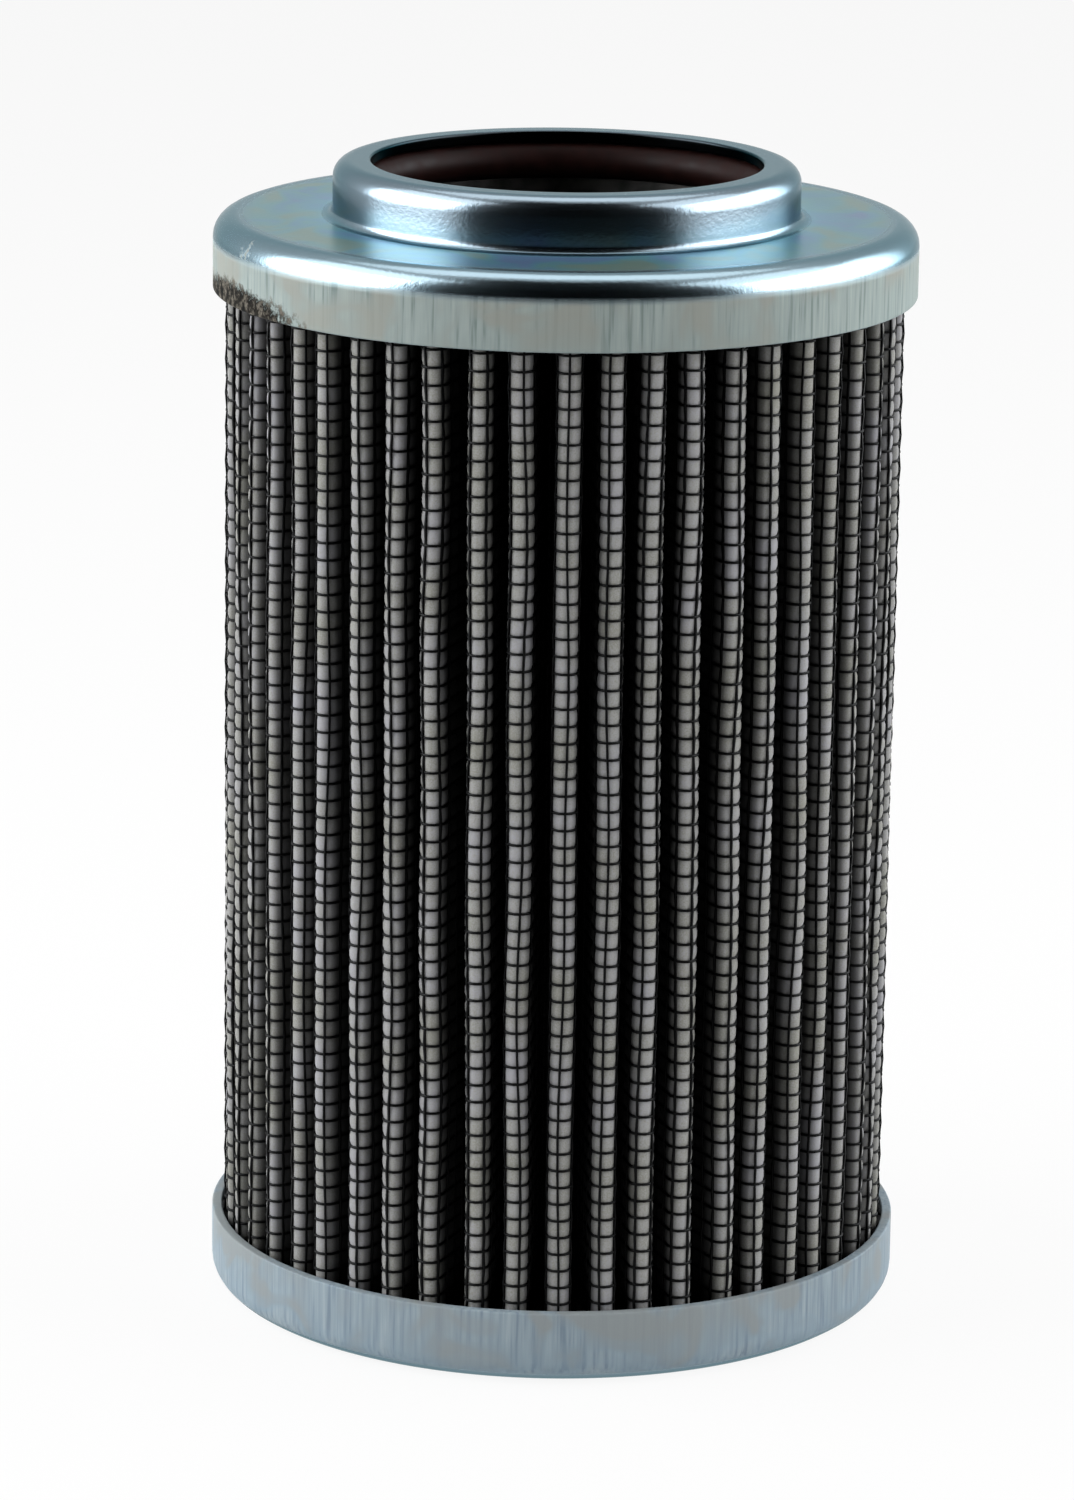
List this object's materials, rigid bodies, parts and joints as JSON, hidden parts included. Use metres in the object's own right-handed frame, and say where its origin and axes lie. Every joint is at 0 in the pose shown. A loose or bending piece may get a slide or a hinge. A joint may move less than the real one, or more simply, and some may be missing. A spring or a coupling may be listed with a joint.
{
  "type": "hydraulic filter element",
  "caption": "Pleated hydraulic pressure filter element with a closed lower end cap and a collared upper end cap whose sealed bore slips over a spigot.",
  "frame": {"origin": "centre of the lower end cap's outer face, on the surface that the element stands on", "axes": "+Z along the element's axis, from the closed lower end cap to the open collar; the pack is alike all round, and -Y is the side that faces the camera"},
  "size_m": [0.0684, 0.0684, 0.113],
  "materials": {
    "zinc_plated_steel_upper": "zinc plated, blue passivated, satin",
    "zinc_plated_steel_lower": "zinc plated, blue passivated, satin",
    "brown_seal_rubber": "smooth, slightly oily",
    "plain_steel": "plain, dull",
    "black_coated_wire": "black coating, satin",
    "pale_fleece": "matt felted fibres",
    "glass_fibre_web": "matt",
    "drainage_mesh": "woven wire",
    "dark_adhesive": "cast, glossy"
  },
  "bodies": {
    "root": {"top_end_cap": "zinc_plated_steel_upper", "bottom_end_cap": "zinc_plated_steel_lower", "seal_ring": "brown_seal_rubber", "seal_retainer": "plain_steel", "support_tube": "plain_steel", "outer_mesh": "black_coated_wire", "outer_fleece": "pale_fleece", "filter_media": "glass_fibre_web", "inner_mesh": "drainage_mesh", "side_seam": "dark_adhesive", "lower_adhesive": "dark_adhesive", "upper_adhesive": "dark_adhesive"}
  },
  "joints": []
}
